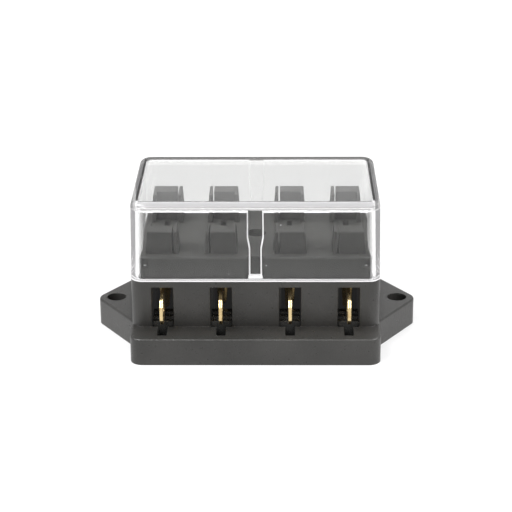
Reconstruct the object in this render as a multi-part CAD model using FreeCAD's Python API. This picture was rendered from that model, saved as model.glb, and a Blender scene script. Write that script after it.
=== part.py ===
import FreeCAD, Part
import math
import os

from FreeCAD import Vector

# A four way blade fuse block: a moulded block with two fixing ears, a clear lift-off
# cover, eight brass terminals put in from below and a plate that closes the underside.
# Millimetres. +X runs along the row of circuits, -Y faces the front row of tabs, +Z is up
# and the origin is the centre of the underside.

# Driving sizes of the block
block_length = 60.0
corner_radius = 3.0
body_depth = 37.2
ledge_width = 7.6
foot_height = 6.7
foot_edge_radius = 0.5
shoulder_height = 18.4
deck_height = 24.1
deck_thickness = 2.0
deck_edge_radius = 0.5

# Fixing ears
ear_root_half_width = 15.3
ear_tip_half_width = 1.05
ear_tip_radius = 3.0
ear_tip_flat = 0.1
ear_tip_margin = 4.25
ear_hole_spacing = 70.5
ear_hole_diameter = 4.8
centre_hole_diameter = 5.0

# Clear cover
cover_height = 38.2
cover_wall = 1.6
cover_top = 2.3
cover_gap = 0.35
cover_draft = 0.4
cover_edge_radius = 1.5
cover_inner_edge_radius = 0.5
cover_inner_corner_radius = 1.6
plinth_corner_radius = 1.7
rib_depth = 1.2
rib_top_width = 3.4
rib_low_width = 2.4
rib_flank = 0.4
rib_taper_rise = 2.3
rib_taper_length = 2.8
rib_side_gap = 0.3
rib_foot_gap = 0.6
detent_radius = 0.8
detent_stand = 0.2
detent_pocket_width = 1.5
detent_pocket_height = 1.9
detent_pocket_depth = 0.5
detent_inset = 1.6
detent_drop = 1.6

# Circuits
circuit_centres = (-22.4, -8.3, 8.3, 22.4)
wall_sides = (1, -1, -1, -1)
window_width = 5.3
window_height = 10.2
notch_width = 2.3
notch_gap = 0.4

# Blade fuse that the block takes, and the room given to it
fuse_length = 19.1
fuse_thickness = 5.1
fuse_end_gap = 0.2
fuse_side_gap = 0.25
leg_thickness = 0.65
leg_width = 5.2
leg_outer_span = 17.1
slot_side_gap = 0.3

# Towers that hold the ends of a fuse
tower_height = 5.6
tower_setback = 2.4
tower_arm_length = 2.15
tower_arm_wall = 0.75
tower_draft = 0.4
tower_edge_radius = 0.3
tower_slit = 0.4

# Brass terminals
sheet = 0.8
tab_width = 6.3
tab_rise = 2.1
tab_reach = 4.8
tab_chamfer = 1.5
tab_hole_diameter = 1.7
tab_hole_inset = 3.2
jog_lead = 1.5
jog_run = 1.8
clip_width = 5.6
clip_head_gap = 0.5
clip_bow = 0.2
clip_flare = 0.55
pinch_drop = 2.2
clip_gap = 0.3
terminal_side_gap = 0.2

# Base plate
plate_thickness = 1.6
plate_margin = 1.5
plate_gap = 0.2
plate_corner_radius = 1.6
post_gap = 0.15
post_front_inset = 0.5
post_step_drops = (0.9, 0.45)
post_support_gap = 0.1
pocket_web_half = 2.6
boss_clearance = 0.2

# Places that follow from the sizes above
half_length = block_length / 2
half_body = body_depth / 2
half_foot = half_body + ledge_width
ear_tip = ear_hole_spacing / 2 + ear_tip_margin
plinth_half_x = half_length - cover_wall - cover_gap
plinth_half_y = half_body - cover_wall - cover_gap
window_top = foot_height + window_height
tower_top = deck_height + tower_height
bay_half = fuse_length / 2 + fuse_end_gap
tower_outer = plinth_half_y - tower_setback
arm_end = bay_half - tower_arm_length
bay_width = fuse_thickness + 2 * fuse_side_gap
leg_outer = leg_outer_span / 2
leg_inner = leg_outer - leg_width
leaf_offset = (leg_thickness + sheet) / 2
clip_outer = (leg_outer + leg_inner + clip_width) / 2
clip_half = leaf_offset + clip_bow + clip_flare + sheet / 2
room_narrow = clip_half + terminal_side_gap
room_end = clip_outer + clip_gap
jog_end = clip_outer + jog_lead
jog_start = jog_end + jog_run
notch_length = tab_reach + notch_gap
ceiling = deck_height - deck_thickness
clip_top = ceiling - clip_head_gap
tab_low = foot_height + tab_rise
rib_taper_low = deck_height + rib_taper_rise
rib_taper_top = rib_taper_low + rib_taper_length


def box_between(low, high):
    """A box from its lowest to its highest corner."""
    size = [top - bottom for bottom, top in zip(low, high)]
    return Part.makeBox(size[0], size[1], size[2], Vector(*low))


def upright_edges(shape):
    """Edges that run straight up."""
    found = []
    for edge in shape.Edges:
        box = edge.BoundBox
        if box.XLength < 1e-6 and box.YLength < 1e-6:
            found.append(edge)
    return found


def edges_at_height(shape, height):
    """Edges that lie flat at one height."""
    found = []
    for edge in shape.Edges:
        box = edge.BoundBox
        if abs(box.ZMin - height) < 1e-6 and abs(box.ZMax - height) < 1e-6:
            found.append(edge)
    return found


def rounded_block(half_x, half_y, low, high, radius):
    """An upright block, centred on the origin, with rounded corners."""
    block = box_between((-half_x, -half_y, low), (half_x, half_y, high))
    return block.makeFillet(radius, upright_edges(block))


def six_sided(first, second):
    """A solid with flat sides between two four-cornered ends, given corner by corner."""
    outlines = [first, second]
    for index in range(4):
        following = (index + 1) % 4
        outlines.append([first[index], first[following], second[following], second[index]])
    faces = []
    for outline in outlines:
        points = [Vector(*corner) for corner in outline]
        faces.append(Part.Face(Part.makePolygon(points + points[:1])))
    shell = Part.Shell(faces)
    shell.sewShape()
    return Part.Solid(shell).removeSplitter()


def rectangle(half_x, half_y, height):
    """The corners of a flat rectangle about the upright axis."""
    signs = ((-1, -1), (1, -1), (1, 1), (-1, 1))
    return [(x * half_x, y * half_y, height) for x, y in signs]


def drafted_block(half_x, half_y, low, high, radius, draft):
    """A block with rounded corners that narrows by the draft on each side towards its top."""
    bottom = rectangle(half_x, half_y, low)
    top = rectangle(half_x - draft, half_y - draft, high)
    block = six_sided(bottom, top)
    corners = [edge for edge in block.Edges if edge.BoundBox.ZLength > 1e-6]
    return block.makeFillet(radius, corners)


def prism(points, travel):
    """A flat outline through the points, pushed along the travel."""
    outline = [Vector(*point) for point in points]
    outline.append(outline[0])
    return Part.Face(Part.makePolygon(outline)).extrude(Vector(*travel))


def turned(shape, centre_x):
    """The shape turned half round about the upright line at a circuit's centre."""
    copy = shape.copy()
    copy.rotate(Vector(centre_x, 0, 0), Vector(0, 0, 1), 180)
    return copy


def mirrored(shape, centre_x):
    """The shape mirrored from the front of the block to its rear, in the same circuit."""
    return shape.mirror(Vector(centre_x, 0, 0), Vector(0, 1, 0))


def at_both_ends(make_front, to_rear):
    """A front feature and its copy taken to the rear, for every circuit."""
    shapes = []
    for centre_x, side in zip(circuit_centres, wall_sides):
        front = make_front(centre_x, side)
        shapes.append(front)
        shapes.append(to_rear(front, centre_x))
    return shapes


def ear(direction):
    """One tapered fixing ear with a rounded tip."""
    root_x = direction * (half_length - corner_radius)
    face_x = direction * half_length
    tip_x = direction * ear_tip
    points = [
        (root_x, -ear_root_half_width, 0),
        (face_x, -ear_root_half_width, 0),
        (tip_x, -ear_tip_half_width, 0),
        (tip_x, ear_tip_half_width, 0),
        (face_x, ear_root_half_width, 0),
        (root_x, ear_root_half_width, 0),
    ]
    solid = prism(points, (0, 0, foot_height))
    tips = [edge for edge in upright_edges(solid) if abs(edge.BoundBox.XMin - tip_x) < 1e-6]
    turn = math.atan2(ear_tip - half_length, ear_root_half_width - ear_tip_half_width)
    largest_radius = (ear_tip_half_width - ear_tip_flat / 2) / math.tan(turn / 2)
    return solid.makeFillet(min(ear_tip_radius, largest_radius), tips)


def foot():
    """The foot with both ears, its upper edge rounded all the way along."""
    solid = rounded_block(half_length, half_foot, 0, foot_height, corner_radius)
    solid = solid.fuse([ear(-1), ear(1)]).removeSplitter()
    return solid.makeFillet(foot_edge_radius, edges_at_height(solid, foot_height))


def tower(centre_x, side):
    """A tower for the front end of a fuse: a thick wall with two arms that clasp the fuse."""
    base_half = bay_width / 2 + tower_arm_wall + tower_draft
    top_half = base_half - tower_draft
    points = [
        (centre_x - base_half, -tower_outer, deck_height),
        (centre_x + base_half, -tower_outer, deck_height),
        (centre_x + top_half, -tower_outer, tower_top),
        (centre_x - top_half, -tower_outer, tower_top),
    ]
    solid = prism(points, (0, tower_outer - arm_end, 0))
    solid = solid.makeFillet(tower_edge_radius, edges_at_height(solid, tower_top))
    bay = box_between(
        (centre_x - bay_width / 2, -bay_half, deck_height),
        (centre_x + bay_width / 2, -arm_end, tower_top),
    )
    slit_outer = centre_x + side * bay_width / 2
    slit_inner = slit_outer - side * tower_slit
    slit = box_between(
        (min(slit_inner, slit_outer), -tower_outer, deck_height),
        (max(slit_inner, slit_outer), -bay_half, tower_top),
    )
    return solid.cut([bay, slit])


def terminal_room(centre_x, side):
    """The hollow for a front terminal, open below, at the window and at the fuse leg's slot."""
    half_window = window_width / 2
    mouth = box_between(
        (centre_x - half_window, -half_body, 0),
        (centre_x + half_window, -jog_start, window_top),
    )
    edges = sorted((centre_x + side * room_narrow, centre_x - side * half_window))
    clip_room = box_between(
        (edges[0], -jog_start, 0),
        (edges[1], -pocket_web_half, window_top),
    )
    clip_head = box_between(
        (edges[0], -room_end, window_top),
        (edges[1], -pocket_web_half, ceiling),
    )
    notch = box_between(
        (centre_x - notch_width / 2, -half_body - notch_length, 0),
        (centre_x + notch_width / 2, -half_body, foot_height),
    )
    slot = box_between(
        (centre_x - leg_thickness / 2 - slot_side_gap, -leg_outer - slot_side_gap, ceiling),
        (centre_x + leg_thickness / 2 + slot_side_gap, -leg_inner + slot_side_gap, deck_height),
    )
    return mouth.fuse([clip_room, clip_head, notch, slot])


def detent_places():
    """Centres of the four cover detents on the plinth's front and rear faces."""
    height = deck_height - detent_drop
    places = []
    for x_side in (-1, 1):
        for y_side in (-1, 1):
            places.append((x_side * (plinth_half_x - detent_inset), y_side, height))
    return places


def detent_pockets():
    """Shallow pockets near the plinth's corners that the cover's bumps drop into."""
    pockets = []
    for x, y_side, height in detent_places():
        deep = y_side * (plinth_half_y - detent_pocket_depth)
        out = y_side * plinth_half_y
        low_y, high_y = sorted((deep, out))
        pockets.append(
            box_between(
                (x - detent_pocket_width / 2, low_y, height - detent_pocket_height / 2),
                (x + detent_pocket_width / 2, high_y, height + detent_pocket_height / 2),
            )
        )
    return pockets


def rib_grooves():
    """Grooves in the plinth's front and rear faces, as deep as the cover's ribs."""
    half_width = rib_low_width / 2 + rib_flank + rib_side_gap
    grooves = []
    for side in (-1, 1):
        low_y, high_y = sorted((side * (plinth_half_y - rib_depth), side * plinth_half_y))
        grooves.append(
            box_between((-half_width, low_y, shoulder_height), (half_width, high_y, deck_height))
        )
    return grooves


def plate_outline_block(gap, high):
    """The base plate's form, made smaller on every side by a gap."""
    half_x = half_length - plate_margin - gap
    half_y = half_foot - plate_margin - gap
    return rounded_block(half_x, half_y, 0, high, plate_corner_radius)


def housing():
    """The moulded block with its ears, plinth, towers, windows and terminal rooms."""
    upper = rounded_block(half_length, half_body, 0, shoulder_height, corner_radius)
    plinth = rounded_block(plinth_half_x, plinth_half_y, 0, deck_height, plinth_corner_radius)
    plinth = plinth.makeFillet(deck_edge_radius, edges_at_height(plinth, deck_height))
    solid = foot().fuse([upper, plinth] + at_both_ends(tower, mirrored)).removeSplitter()
    cutters = at_both_ends(terminal_room, turned) + rib_grooves() + detent_pockets()
    cutters.append(plate_outline_block(0, plate_thickness))
    for x in (-ear_hole_spacing / 2, ear_hole_spacing / 2):
        cutters.append(Part.makeCylinder(ear_hole_diameter / 2, foot_height, Vector(x, 0, 0)))
    cutters.append(Part.makeCylinder(centre_hole_diameter / 2, deck_height))
    return solid.cut(cutters).removeSplitter()


def post(centre_x, side):
    """The stepped post under a front terminal, which carries the terminal's strip."""
    front = half_body - post_front_inset
    back = jog_start + post_gap
    half_width = window_width / 2 - post_gap
    full_height = tab_low - post_support_gap
    tops = [full_height - drop for drop in post_step_drops] + [full_height]
    step_length = (front - back) / len(tops)
    solids = []
    for index, top in enumerate(tops):
        start = front - index * step_length
        solids.append(
            box_between((centre_x - half_width, -start, 0), (centre_x + half_width, -back, top))
        )
    return solids[0].fuse(solids[1:]).removeSplitter()


def base_plate():
    """The plate that closes the underside, with one post under each terminal."""
    plate = plate_outline_block(plate_gap, plate_thickness)
    plate = plate.fuse(at_both_ends(post, turned)).removeSplitter()
    hole = Part.makeCylinder(centre_hole_diameter / 2 + boss_clearance, plate_thickness)
    return plate.cut(hole)


def rib_length(side, widths, heights):
    """One straight length of a rib: narrow at its free face, wider by its flanks at the wall."""
    sunk_depth = cover_wall / 2
    free = side * (half_body - cover_wall - rib_depth)
    sunk = side * (half_body - cover_wall + sunk_depth)
    sunk_flank = rib_flank * (rib_depth + sunk_depth) / rib_depth
    ends = []
    for y, extra in ((free, 0), (sunk, sunk_flank)):
        low_half = widths[0] / 2 + extra
        high_half = widths[1] / 2 + extra
        ends.append(
            [
                (-low_half, y, heights[0]),
                (low_half, y, heights[0]),
                (high_half, y, heights[1]),
                (-high_half, y, heights[1]),
            ]
        )
    return six_sided(*ends)


def cover_rib(side):
    """The upright rib inside the cover's front or rear wall, narrower where the plinth takes it."""
    low = shoulder_height + rib_foot_gap
    high = cover_height - cover_top / 2
    lengths = [
        rib_length(side, (rib_low_width, rib_low_width), (low, rib_taper_low)),
        rib_length(side, (rib_low_width, rib_top_width), (rib_taper_low, rib_taper_top)),
        rib_length(side, (rib_top_width, rib_top_width), (rib_taper_top, high)),
    ]
    return lengths[0].fuse(lengths[1:]).removeSplitter()


def cover_bumps():
    """Small round bumps inside the cover that drop into the plinth's pockets."""
    bumps = []
    for x, y_side, height in detent_places():
        centre_y = y_side * (half_body - cover_wall + detent_radius - detent_stand)
        bumps.append(Part.makeSphere(detent_radius, Vector(x, centre_y, height)))
    return bumps


def clear_cover():
    """The clear lift-off cover: a drafted shell with rounded edges, two ribs and four bumps."""
    shell = drafted_block(
        half_length, half_body, shoulder_height, cover_height, corner_radius, cover_draft
    )
    shell = shell.makeFillet(cover_edge_radius, edges_at_height(shell, cover_height))
    ceiling_height = cover_height - cover_top
    hollow = drafted_block(
        half_length - cover_wall,
        half_body - cover_wall,
        shoulder_height,
        ceiling_height,
        cover_inner_corner_radius,
        cover_draft,
    )
    hollow = hollow.makeFillet(cover_inner_edge_radius, edges_at_height(hollow, ceiling_height))
    shell = shell.cut(hollow)
    return shell.fuse([cover_rib(-1), cover_rib(1)] + cover_bumps()).removeSplitter()


def terminal_strip(centre_x, side):
    """The tab and strip of a front terminal, with a jog beside the window."""
    tip = half_body + tab_reach
    near = -sheet / 2
    far = sheet / 2
    shift = side * leaf_offset
    path = [
        (near, -tip),
        (far, -tip),
        (far, -jog_start),
        (far + shift, -jog_end),
        (far + shift, -clip_outer + sheet),
        (near + shift, -clip_outer + sheet),
        (near + shift, -jog_end),
        (near, -jog_start),
    ]
    points = [(centre_x + x, y, tab_low) for x, y in path]
    strip = prism(points, (0, 0, tab_width))
    corners = []
    for edge in strip.Edges:
        box = edge.BoundBox
        if abs(box.YMin + tip) < 1e-6 and abs(box.YMax + tip) < 1e-6 and box.ZLength < 1e-6:
            corners.append(edge)
    strip = strip.makeChamfer(tab_chamfer, corners)
    hole = Part.makeCylinder(
        tab_hole_diameter / 2,
        2 * sheet,
        Vector(centre_x - sheet, -tip + tab_hole_inset, tab_low + tab_width / 2),
        Vector(1, 0, 0),
    )
    return strip.cut(hole)


def clip(centre_x):
    """The fork of two sprung leaves that grips a fuse leg, folded up from one strip."""
    straight = leaf_offset
    bowed = leaf_offset + clip_bow
    flared = bowed + clip_flare
    pinch = clip_top - pinch_drop
    bend = tab_low + sheet
    middle = (bend + pinch) / 2
    line = [(straight, bend), (bowed, middle), (straight, pinch), (flared, clip_top)]
    half = sheet / 2
    right_out = [(x + half, z) for x, z in line]
    right_in = [(x - half, z) for x, z in reversed(line)]
    left_in = [(-x, z) for x, z in reversed(right_in)]
    left_out = [(-x, z) for x, z in reversed(right_out)]
    fold = [(-straight, tab_low), (straight, tab_low)]
    outline = fold + right_out + right_in + left_in + left_out
    points = [(centre_x + x, -clip_outer, z) for x, z in outline]
    return prism(points, (0, clip_width, 0))


def terminal(centre_x, side):
    """One brass terminal of the front row."""
    return terminal_strip(centre_x, side).fuse(clip(centre_x)).removeSplitter()


def save(shape, name):
    """Write one piece as a STEP file named after it."""
    if len(shape.Solids) == 1:
        shape = shape.Solids[0]
    shape.exportStep(os.path.join("parts", name + ".step"))


os.makedirs("parts", exist_ok=True)
save(housing(), "housing")
save(base_plate(), "base_plate")
save(clear_cover(), "clear_cover")
for number, (place, wall_side) in enumerate(zip(circuit_centres, wall_sides), start=1):
    front_terminal = terminal(place, wall_side)
    save(front_terminal, "terminal_front_%d" % number)
    save(turned(front_terminal, place), "terminal_rear_%d" % number)
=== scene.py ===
import math

import bpy
from mathutils import Matrix, Vector


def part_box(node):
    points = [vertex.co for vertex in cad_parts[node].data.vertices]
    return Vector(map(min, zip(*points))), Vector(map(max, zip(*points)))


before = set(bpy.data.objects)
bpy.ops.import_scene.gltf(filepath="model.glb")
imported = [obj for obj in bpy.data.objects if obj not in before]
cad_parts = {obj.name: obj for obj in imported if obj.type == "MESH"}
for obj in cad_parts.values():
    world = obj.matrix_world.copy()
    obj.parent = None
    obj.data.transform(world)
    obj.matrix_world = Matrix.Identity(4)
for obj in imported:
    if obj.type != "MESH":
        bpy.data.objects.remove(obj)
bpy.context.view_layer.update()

# Lengths are in metres and angles in degrees, and colours are linear. The three numbers of a
# noise are its scale, detail and roughness. A pair holds the two ends of a range.

# Camera, fitted to the edges of the photographed block
PICTURE_PIXELS = 512
FOCAL_PIXELS = 1674.8
SENSOR_MM = 36.0
NEAR_CLIP = 0.01
CAMERA_DISTANCE = 0.4179
CAMERA_TILT = 21.49
CAMERA_YAW = 0.813
CAMERA_ROLL = 0.311
AIM_SIDE = -0.00009
AIM_HEIGHT = 0.01773

# Lamps: name, place, size, power in watts, and whether the cover and the brass mirror it
LAMPS = (
    ("key", (-0.40, -0.45, 0.85), 0.35, 7.0, True),
    ("fill", (0.5, -0.4, 0.7), 0.5, 3.5, True),
    ("back", (0.1, 0.6, 0.8), 0.5, 2.5, True),
    ("left", (-0.75, -0.2, 0.65), 0.4, 6.0, True),
    ("right", (0.75, -0.2, 0.65), 0.4, 4.5, True),
    ("front", (0.08, -0.7, 0.12), 0.2, 0.5, False),
)

# Sky, and how bright it is to each kind of ray
WHITE = (1.0, 1.0, 1.0, 1.0)
SKY_COLOUR = (0.70, 0.70, 0.71, 1.0)
SKY_SEEN_BY = (
    ("Is Glossy Ray", 0.5),
    ("Is Transmission Ray", 1.0),
    ("Is Camera Ray", 1.0),
)

# Floor: its share of white grows away from the object, and its mirror image gets darker
FLOOR_SIZE = 6.0
FLOOR_COLOUR = (0.70, 0.70, 0.70, 1.0)
WHITE_FLOOR_DISTANCES = (0.4, 1.5)
WHITE_FLOOR_SHARES = (0.6, 1.0)
MIRRORED_FLOOR_DISTANCES = (0.067, 0.1)
MIRRORED_FLOOR_STRENGTHS = (1.0, 0.3)

# Moulded plastic: flow clouds, specks and grain
CLOUDS = (55.0, 3.0, 0.5)
CLOUD_RANGE = (0.35, 0.65)
SPECKS = (900.0, 4.0, 0.7)
SPECK_RANGE = (0.60, 0.78)
SPECK_SHARES = (0.0, 0.45)
SPECK_ROUGHNESS_RANGE = (0.3, 0.7)
SMOOTHER = -0.05
ROUGHER = 0.06
GRAIN = (3600.0, 2.0, 0.6)
GRAIN_HEIGHT = 0.0001
PLASTIC_EDGE_RADIUS = 0.0002
PLASTIC_EDGE_SAMPLES = 6

# Moulded plastic: painted shade, a darker colour in corners and crevices
PAINTED_CORNER_SHADE_COLOUR = (0.013, 0.0125, 0.0115, 1.0)
CORNER_REACH = 0.003
CORNER_SAMPLES = 8
CORNER_OPENNESS = (0.15, 0.85)
PAINTED_CORNER_SHADE_SHARES = (0.8, 0.0)

# Moulded plastic above the shoulder that the cover stands on: a paler colour, which is painted
# light, and a duller finish
SHOULDER = 0.0185
SHOULDER_BLEND = 0.0001
PAINTED_LIGHT_UNDER_COVER_COLOUR = (0.044, 0.044, 0.042, 1.0)
PAINTED_LIGHT_UNDER_COVER_SHARE = 0.5
UNDER_COVER_ROUGHNESS = 0.6
UNDER_COVER_GLOSS = 0.12

# The space inside the windows, whose walls glow faintly: a painted glow in place of the light that
# bounces about
INSIDE_HALF_LENGTH = 0.0285
INSIDE_HALF_DEPTH = 0.0182
INSIDE_TOP = 0.0180

# Clear cover: body, waves, fine marks and specks of dust
COVER_COLOUR = (0.875, 0.876, 0.872, 1.0)
COVER_SHADOW = (0.80, 0.80, 0.80, 1.0)
COVER_IOR = 1.49
WAVES = (60.0, 1.0, 0.5)
WAVE_HEIGHT = 0.0004
WAVE_STRENGTH = 0.04
MARKS = (260.0, 5.0, 0.7)
MARK_RANGE = (0.55, 0.85)
MARK_ROUGHNESS = (0.0, 0.03)
DUST_SCALE = 330.0
DUST_CHANCE_LIMIT = 0.85
DUST_RADIUS = 0.05
DUST_SHARE = 0.55

# Clear cover, matt parts: its lower rim; and the flanks of the front rib and the feet of both
# ribs, whose matt white is a painted highlight
MATT_COLOUR = (0.86, 0.85, 0.86, 1.0)
MATT_SHARE = 0.7
RIM_HEIGHT = 0.00035
RIB_REACH = 0.0032
FLANK_SLOPE = 0.5
FOOT_HEIGHT = 0.0013
FOOT_HALF_WIDTH = 0.0017
FOOT_MARGIN = 0.00035

# Clear cover, rounded edges made pale with painted light: how far the surface normal has turned
# where the rounding starts, ends, and passes from a long edge to a short one or a corner, and how
# much painted light each gets
ROUNDING_STARTS = (0.10, 0.35)
ROUNDING_ENDS = (0.97, 0.999)
LONG_TO_SHORT_EDGE = (0.2, 0.6)
TOP_EDGE_PAINTED_LIGHT = (0.33, 0.24)
CORNER_ROUNDING = (0.08, 0.3)
CORNER_PAINTED_LIGHT = (0.0, 0.24)

# Clear cover: light that goes straight through its top edges, so that they aren't black lines
TOP_EDGE_HEIGHT = 0.0018
REAR_EDGE_WIDTH = 0.0042
REAR_EDGE_SHARE = 0.5
REAR_EDGE_SHADE = (0.72, 0.715, 0.71, 1.0)
END_EDGE_WIDTH = 0.0018
END_EDGE_SHARE = 0.6
END_EDGE_SHADE = (0.45, 0.445, 0.44, 1.0)

# Rolled brass: fine lines, stains and cut edges
BRASS_COLOUR = (0.88, 0.69, 0.38, 1.0)
BRASS_DARK = (0.50, 0.29, 0.09, 1.0)
LINES = (5200.0, 3.0, 0.6)
LINE_STRETCH = (1.0, 0.06, 1.0)
LINE_RANGE = (0.3, 0.7)
LINE_ROUGHNESS = (0.16, 0.5)
LINE_HEIGHT = 0.00003
LINE_STRENGTH = 0.25
STAINS = (420.0, 3.0, 0.5)
STAIN_RANGE = (0.45, 0.75)
STAIN_SHARES = (0.0, 0.55)
BRASS_EDGE_RADIUS = 0.0004
BRASS_EDGE_SAMPLES = 8


class Nodes:
    """A short way to build the nodes of a material or of the world."""

    def __init__(self, owner, output="ShaderNodeOutputMaterial"):
        owner.use_nodes = True
        self.tree = owner.node_tree
        self.tree.nodes.clear()
        self.output = self.add(output)

    def add(self, kind, **settings):
        """A new node, with plain values for its inputs or its own settings."""
        node = self.tree.nodes.new(kind)
        for key, value in settings.items():
            if key in node.inputs:
                node.inputs[key].default_value = value
            else:
                setattr(node, key, value)
        return node

    def give(self, value, socket):
        """Links another node's output to a socket, or sets a plain value there."""
        if isinstance(value, bpy.types.NodeSocket):
            self.tree.links.new(value, socket)
        else:
            socket.default_value = value

    def finish(self, surface):
        self.give(surface, self.output.inputs["Surface"])

    def noise(self, coordinates, settings):
        scale, detail, roughness = settings
        node = self.add("ShaderNodeTexNoise", Scale=scale, Detail=detail, Roughness=roughness)
        self.give(coordinates, node.inputs["Vector"])
        return node.outputs["Fac"]

    def spread(self, value, start, result=(0.0, 1.0)):
        """Takes the first pair to the second, and stays at its ends beyond them."""
        node = self.add("ShaderNodeMapRange")
        node.inputs["From Min"].default_value, node.inputs["From Max"].default_value = start
        node.inputs["To Min"].default_value, node.inputs["To Max"].default_value = result
        self.give(value, node.inputs["Value"])
        return node.outputs["Result"]

    def calculate(self, operation, *values):
        node = self.add("ShaderNodeMath", operation=operation)
        for value, socket in zip(values, node.inputs):
            self.give(value, socket)
        return node.outputs["Value"]

    def product(self, first, *others):
        for other in others:
            first = self.calculate("MULTIPLY", first, other)
        return first

    def most(self, first, *others):
        for other in others:
            first = self.calculate("MAXIMUM", first, other)
        return first

    def absolute(self, value):
        return self.calculate("ABSOLUTE", value)

    def below(self, value, limit):
        return self.calculate("LESS_THAN", value, limit)

    def above(self, value, limit):
        return self.calculate("GREATER_THAN", value, limit)

    def blend(self, share, first, second):
        """Two colours, with the share of the second."""
        node = self.add("ShaderNodeMix", data_type="RGBA")
        colours = [socket for socket in node.inputs if socket.type == "RGBA"]
        self.give(share, node.inputs[0])
        for value, socket in zip((first, second), colours):
            self.give(value, socket)
        return [socket for socket in node.outputs if socket.type == "RGBA"][0]

    def layer(self, share, first, second):
        """Two surfaces, with the share of the second."""
        node = self.add("ShaderNodeMixShader")
        for value, socket in zip((share, first, second), node.inputs):
            self.give(value, socket)
        return node.outputs["Shader"]

    def bump(self, height, distance, strength):
        node = self.add("ShaderNodeBump", Distance=distance, Strength=strength)
        self.give(height, node.inputs["Height"])
        return node

    def soft_bump(self, height, distance, strength, radius, samples):
        """A bump on top of edges that catch the light as if they were rounded."""
        soft_edge = self.add("ShaderNodeBevel", samples=samples, Radius=radius)
        node = self.bump(height, distance, strength)
        self.give(soft_edge.outputs["Normal"], node.inputs["Normal"])
        return node

    def place(self):
        return self.add("ShaderNodeTexCoord").outputs["Object"]

    def split(self, vector):
        """The three numbers of a vector."""
        axes = self.add("ShaderNodeSeparateXYZ")
        self.give(vector, axes.inputs["Vector"])
        return axes.outputs["X"], axes.outputs["Y"], axes.outputs["Z"]


def moulded_plastic(name, colour, pale, roughness, gloss, grain_strength, painted_glow_inside):
    """Dark moulded plastic: fine grain, flow clouds and softened edges, with painted shade in the
    corners, painted light above the shoulder and, where asked, a painted glow inside the windows.
    """
    material = bpy.data.materials.new(name)
    nodes = Nodes(material)
    place = nodes.place()
    clouds = nodes.noise(place, CLOUDS)
    grain = nodes.noise(place, GRAIN)
    specks = nodes.noise(place, SPECKS)
    under_cover = nodes.spread(nodes.split(place)[2], (SHOULDER, SHOULDER + SHOULDER_BLEND))

    tint = nodes.blend(nodes.spread(clouds, CLOUD_RANGE), colour, pale)
    tint = nodes.blend(nodes.spread(specks, SPECK_RANGE, SPECK_SHARES), tint, pale)
    # Painted light: above the shoulder, under the cover, the colour is made paler.
    painted_light_share = nodes.product(under_cover, PAINTED_LIGHT_UNDER_COVER_SHARE)
    tint = nodes.blend(painted_light_share, tint, PAINTED_LIGHT_UNDER_COVER_COLOUR)
    # Painted shade: where little is open around a point, its colour is blended towards a dark
    # colour.
    openness = nodes.add(
        "ShaderNodeAmbientOcclusion",
        samples=CORNER_SAMPLES,
        only_local=True,
        Distance=CORNER_REACH,
    )
    painted_corner_shade = nodes.spread(openness.outputs["AO"], CORNER_OPENNESS, PAINTED_CORNER_SHADE_SHARES)

    roughness_range = (roughness + SMOOTHER, roughness + ROUGHER)
    speckled = nodes.spread(specks, SPECK_ROUGHNESS_RANGE, roughness_range)
    dull = nodes.product(under_cover, UNDER_COVER_ROUGHNESS)
    normal = nodes.soft_bump(
        grain, GRAIN_HEIGHT, grain_strength, PLASTIC_EDGE_RADIUS, PLASTIC_EDGE_SAMPLES
    )

    surface = nodes.add("ShaderNodeBsdfPrincipled")
    inputs = surface.inputs
    nodes.give(nodes.blend(painted_corner_shade, tint, PAINTED_CORNER_SHADE_COLOUR), inputs["Base Color"])
    nodes.give(nodes.most(speckled, dull), inputs["Roughness"])
    shine = nodes.spread(under_cover, (0.0, 1.0), (gloss, UNDER_COVER_GLOSS))
    nodes.give(shine, inputs["Specular IOR Level"])
    nodes.give(WHITE, inputs["Emission Color"])
    nodes.give(painted_inside_glow(nodes, place, painted_glow_inside), inputs["Emission Strength"])
    nodes.give(normal.outputs["Normal"], inputs["Normal"])
    nodes.finish(surface.outputs["BSDF"])
    return material


def painted_inside_glow(nodes, place, strength):
    """A faint even painted glow on the walls inside the windows, in place of bounced light."""
    x, y, z = nodes.split(place)
    return nodes.product(
        nodes.below(nodes.absolute(x), INSIDE_HALF_LENGTH),
        nodes.below(nodes.absolute(y), INSIDE_HALF_DEPTH),
        nodes.below(z, INSIDE_TOP),
        strength,
    )


def matt_parts(nodes, place, normal):
    """One on the cover's rim, its front rib's flanks and both ribs' feet, and zero elsewhere. On
    the flanks and feet it gives a painted highlight.
    """
    x, y, z = nodes.split(place)
    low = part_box("clear_cover")[0].z
    middle = nodes.absolute(x)
    rim = nodes.below(z, low + RIM_HEIGHT)
    flank = nodes.product(
        nodes.below(middle, RIB_REACH),
        nodes.below(y, 0.0),
        nodes.above(nodes.absolute(nodes.split(normal)[0]), FLANK_SLOPE),
    )
    inner_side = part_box("clear_cover")[1].y - FOOT_MARGIN
    foot = nodes.product(
        nodes.below(middle, FOOT_HALF_WIDTH),
        nodes.below(z, low + FOOT_HEIGHT),
        nodes.below(nodes.absolute(y), inner_side),
    )
    return nodes.most(rim, flank, foot)


def painted_edge_light(nodes, geometry):
    """How much painted light the cover gets where it is rounded, most along its long top edges."""
    x, y, z = nodes.split(geometry.outputs["True Normal"])
    across = nodes.absolute(x)
    top = nodes.product(
        nodes.spread(z, ROUNDING_STARTS),
        nodes.spread(z, ROUNDING_ENDS, (1.0, 0.0)),
        nodes.spread(across, LONG_TO_SHORT_EDGE, TOP_EDGE_PAINTED_LIGHT),
    )
    corner = nodes.spread(nodes.product(across, nodes.absolute(y)), CORNER_ROUNDING, CORNER_PAINTED_LIGHT)
    outside = nodes.calculate("SUBTRACT", 1.0, geometry.outputs["Backfacing"])
    return nodes.most(top, nodes.product(corner, outside))


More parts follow.
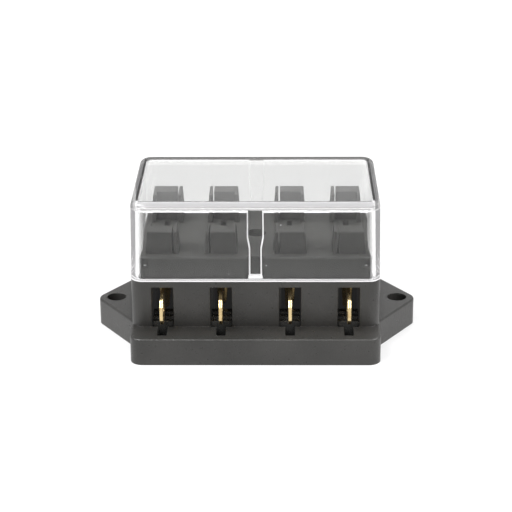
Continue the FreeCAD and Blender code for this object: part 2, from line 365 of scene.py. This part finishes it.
def edge_through(nodes, place):
    """How much light goes straight through the cover's rear and end top edges, and its colour."""
    x, y, z = nodes.split(place)
    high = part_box("clear_cover")[1]
    near_top = nodes.above(z, high.z - TOP_EDGE_HEIGHT)
    at_rear = nodes.above(y, high.y - REAR_EDGE_WIDTH)
    at_end = nodes.above(nodes.absolute(x), high.x - END_EDGE_WIDTH)
    rear = nodes.product(at_rear, REAR_EDGE_SHARE)
    end = nodes.product(at_end, END_EDGE_SHARE)
    share = nodes.product(near_top, nodes.most(rear, end))
    return share, nodes.blend(at_end, REAR_EDGE_SHADE, END_EDGE_SHADE)


def dust(nodes, place):
    """Tiny pale specks scattered over the cover."""
    cells = nodes.add("ShaderNodeTexVoronoi", Scale=DUST_SCALE)
    nodes.give(place, cells.inputs["Vector"])
    chosen = nodes.above(nodes.split(cells.outputs["Color"])[0], DUST_CHANCE_LIMIT)
    speck = nodes.below(cells.outputs["Distance"], DUST_RADIUS)
    return nodes.product(chosen, speck, DUST_SHARE)


def clear_plastic(name):
    """Clear moulded cover: glossy, with painted light on its rounded edges and rib, a matt rim,
    fine marks and specks.
    """
    material = bpy.data.materials.new(name)
    nodes = Nodes(material)
    place = nodes.place()
    geometry = nodes.add("ShaderNodeNewGeometry")

    surface = nodes.add("ShaderNodeBsdfPrincipled", IOR=COVER_IOR)
    inputs = surface.inputs
    nodes.give(COVER_COLOUR, inputs["Base Color"])
    nodes.give(1.0, inputs["Transmission Weight"])
    marks = nodes.noise(place, MARKS)
    nodes.give(nodes.spread(marks, MARK_RANGE, MARK_ROUGHNESS), inputs["Roughness"])
    waves = nodes.bump(nodes.noise(place, WAVES), WAVE_HEIGHT, WAVE_STRENGTH)
    nodes.give(waves.outputs["Normal"], inputs["Normal"])

    # The matt white layer: a matt rim, real specks of dust, and painted light on the rounded
    # edges, the front rib's flanks and the ribs' feet.
    matt = nodes.add("ShaderNodeBsdfDiffuse", Color=MATT_COLOUR)
    matt_share = nodes.most(
        nodes.product(matt_parts(nodes, place, geometry.outputs["True Normal"]), MATT_SHARE),
        painted_edge_light(nodes, geometry),
        dust(nodes, place),
    )
    matt_rim_dust_and_painted_light = nodes.layer(matt_share, surface.outputs["BSDF"], matt.outputs["BSDF"])

    straight = nodes.add("ShaderNodeBsdfTransparent")
    share, shade = edge_through(nodes, place)
    nodes.give(shade, straight.inputs["Color"])
    edged = nodes.layer(share, matt_rim_dust_and_painted_light, straight.outputs["BSDF"])

    shadow = nodes.add("ShaderNodeBsdfTransparent", Color=COVER_SHADOW)
    path = nodes.add("ShaderNodeLightPath")
    nodes.finish(nodes.layer(path.outputs["Is Shadow Ray"], edged, shadow.outputs["BSDF"]))
    return material


def rolled_brass(name):
    """Bright rolled brass sheet with fine lines along the strip and softened cut edges."""
    material = bpy.data.materials.new(name)
    nodes = Nodes(material)
    place = nodes.place()
    stretched = nodes.add("ShaderNodeMapping", Scale=LINE_STRETCH)
    nodes.give(place, stretched.inputs["Vector"])
    lines = nodes.noise(stretched.outputs["Vector"], LINES)
    stain = nodes.spread(nodes.noise(place, STAINS), STAIN_RANGE, STAIN_SHARES)
    normal = nodes.soft_bump(
        lines, LINE_HEIGHT, LINE_STRENGTH, BRASS_EDGE_RADIUS, BRASS_EDGE_SAMPLES
    )

    surface = nodes.add("ShaderNodeBsdfPrincipled", Metallic=1.0)
    nodes.give(nodes.blend(stain, BRASS_COLOUR, BRASS_DARK), surface.inputs["Base Color"])
    nodes.give(nodes.spread(lines, LINE_RANGE, LINE_ROUGHNESS), surface.inputs["Roughness"])
    nodes.give(normal.outputs["Normal"], surface.inputs["Normal"])
    nodes.finish(surface.outputs["BSDF"])
    return material


def dress(node_name, material):
    """Gives a CAD node its finished material."""
    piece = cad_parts[node_name]
    if not piece.material_slots:
        piece.data.materials.append(material)
    for slot in piece.material_slots:
        slot.link = "OBJECT"
        slot.material = material


def white_floor(name):
    """Matt and pale, but white to the camera, and greyer far away in reflections."""
    material = bpy.data.materials.new(name)
    nodes = Nodes(material)
    path = nodes.add("ShaderNodeLightPath")
    to_camera = path.outputs["Is Camera Ray"]
    through_cover = path.outputs["Is Transmission Ray"]
    length = nodes.add("ShaderNodeVectorMath", operation="LENGTH")
    nodes.give(nodes.place(), length.inputs[0])
    distance = length.outputs["Value"]

    matt = nodes.add("ShaderNodeBsdfDiffuse", Color=FLOOR_COLOUR)
    white = nodes.add("ShaderNodeEmission", Color=WHITE)
    white_share = nodes.product(
        nodes.most(to_camera, through_cover),
        nodes.spread(distance, WHITE_FLOOR_DISTANCES, WHITE_FLOOR_SHARES),
    )
    direct = nodes.layer(white_share, matt.outputs["BSDF"], white.outputs["Emission"])

    mirrored = nodes.add("ShaderNodeEmission")
    strength = nodes.spread(distance, MIRRORED_FLOOR_DISTANCES, MIRRORED_FLOOR_STRENGTHS)
    nodes.give(strength, mirrored.inputs["Strength"])
    only_mirrored = nodes.calculate("SUBTRACT", path.outputs["Is Glossy Ray"], through_cover)
    nodes.finish(nodes.layer(only_mirrored, direct, mirrored.outputs["Emission"]))
    return material


def floor():
    """A plain floor that keeps the object's shadow."""
    half = FLOOR_SIZE / 2
    corners = [(-half, -half, 0), (half, -half, 0), (half, half, 0), (-half, half, 0)]
    mesh = bpy.data.meshes.new("floor")
    mesh.from_pydata(corners, [], [(0, 1, 2, 3)])
    mesh.materials.append(white_floor("floor_white"))
    piece = bpy.data.objects.new("floor", mesh)
    bpy.context.scene.collection.objects.link(piece)


def sky():
    """Soft grey light from all round, white to the camera and through clear pieces."""
    world = bpy.data.worlds.new("studio")
    nodes = Nodes(world, "ShaderNodeOutputWorld")
    path = nodes.add("ShaderNodeLightPath")
    seen = nodes.add("ShaderNodeBackground", Color=SKY_COLOUR).outputs["Background"]
    for kind, strength in SKY_SEEN_BY:
        bright = nodes.add("ShaderNodeBackground", Color=WHITE, Strength=strength)
        seen = nodes.layer(path.outputs[kind], seen, bright.outputs["Background"])
    nodes.finish(seen)
    bpy.context.scene.world = world


def lamp(name, place, size, power, mirrored):
    """A soft square lamp that faces the middle of the object."""
    data = bpy.data.lights.new(name, "AREA")
    data.shape = "SQUARE"
    data.size = size
    data.energy = power
    piece = bpy.data.objects.new(name, data)
    piece.location = place
    aim = Vector((0, 0, AIM_HEIGHT)) - Vector(place)
    piece.rotation_euler = aim.to_track_quat("-Z", "Y").to_euler()
    piece.visible_glossy = mirrored
    piece.visible_transmission = mirrored
    bpy.context.scene.collection.objects.link(piece)


def camera():
    """The camera at the photograph's viewing angle."""
    tilt, yaw, roll = (math.radians(angle) for angle in (CAMERA_TILT, CAMERA_YAW, CAMERA_ROLL))
    side = Vector((math.cos(yaw), math.sin(yaw), 0))
    ahead = Vector((-math.sin(yaw), math.cos(yaw), 0))
    up = Vector((0, 0, 1))
    view = ahead * math.cos(tilt) - up * math.sin(tilt)
    top = ahead * math.sin(tilt) + up * math.cos(tilt)
    right = side * math.cos(roll) - top * math.sin(roll)
    above = side * math.sin(roll) + top * math.cos(roll)
    place = side * AIM_SIDE + up * AIM_HEIGHT - view * CAMERA_DISTANCE
    data = bpy.data.cameras.new("camera")
    data.sensor_width = SENSOR_MM
    data.lens = FOCAL_PIXELS / PICTURE_PIXELS * SENSOR_MM
    data.clip_start = NEAR_CLIP
    piece = bpy.data.objects.new("camera", data)
    axes = Matrix((right, above, -view)).transposed()
    piece.matrix_world = Matrix.Translation(place) @ axes.to_4x4()
    bpy.context.scene.collection.objects.link(piece)
    bpy.context.scene.camera = piece


block_finish = moulded_plastic(
    "block_plastic",
    colour=(0.021, 0.0205, 0.019, 1.0),
    pale=(0.032, 0.031, 0.029, 1.0),
    roughness=0.31,
    gloss=0.5,
    grain_strength=0.9,
    painted_glow_inside=0.014,
)
plate_finish = moulded_plastic(
    "plate_plastic",
    colour=(0.018, 0.018, 0.017, 1.0),
    pale=(0.026, 0.026, 0.025, 1.0),
    roughness=0.26,
    gloss=0.7,
    grain_strength=0.15,
    painted_glow_inside=0.0,
)
brass_finish = rolled_brass("terminal_brass")
dress("housing", block_finish)
dress("base_plate", plate_finish)
dress("clear_cover", clear_plastic("clear_plastic"))
for node_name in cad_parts:
    if node_name.startswith("terminal"):
        dress(node_name, brass_finish)

floor()
sky()
for name, place, size, power, mirrored in LAMPS:
    lamp(name, place, size, power, mirrored)
camera()
bpy.context.scene.view_settings.view_transform = "Standard"
